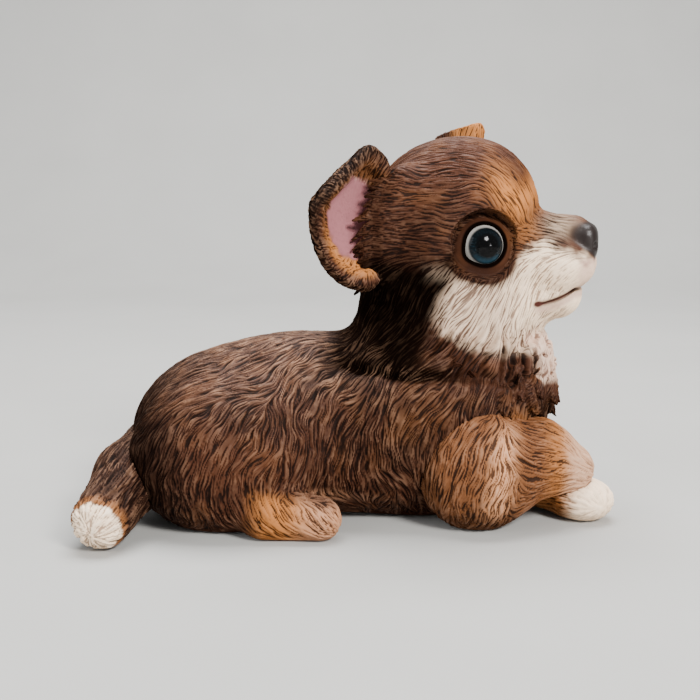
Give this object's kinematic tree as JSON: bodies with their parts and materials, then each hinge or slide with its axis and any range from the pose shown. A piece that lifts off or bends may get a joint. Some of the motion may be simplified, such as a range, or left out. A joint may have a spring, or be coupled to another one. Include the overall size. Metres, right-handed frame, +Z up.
{
  "type": "dog figurine",
  "caption": "Lying puppy figurine with a head turned to its right, crossed front paws, upright ears, inset domed eyes, and a hollow cast body with a plug underneath.",
  "frame": {"origin": "on the flat underside of the body, in the body's middle plane under the belly", "axes": "+X the way the dog lies and looks, +Y its left side, +Z up"},
  "size_m": [0.1457, 0.0864, 0.1099],
  "materials": {
    "coat_body": "satin",
    "coat_head": "satin",
    "coat_ears": "satin",
    "coat_legs": "satin",
    "coat_tail": "satin",
    "clear_eye": "gloss",
    "painted_eye": "satin",
    "soft_plug": "matte"
  },
  "bodies": {
    "root": {"body_shell": "coat_body", "head_shell": "coat_head", "right_ear": "coat_ears", "left_ear": "coat_ears", "right_foreleg": "coat_legs", "left_foreleg": "coat_legs", "tail": "coat_tail", "right_eye_cap": "clear_eye", "left_eye_cap": "clear_eye", "right_eye_ball": "painted_eye", "left_eye_ball": "painted_eye", "pour_hole_plug": "soft_plug"}
  },
  "joints": []
}
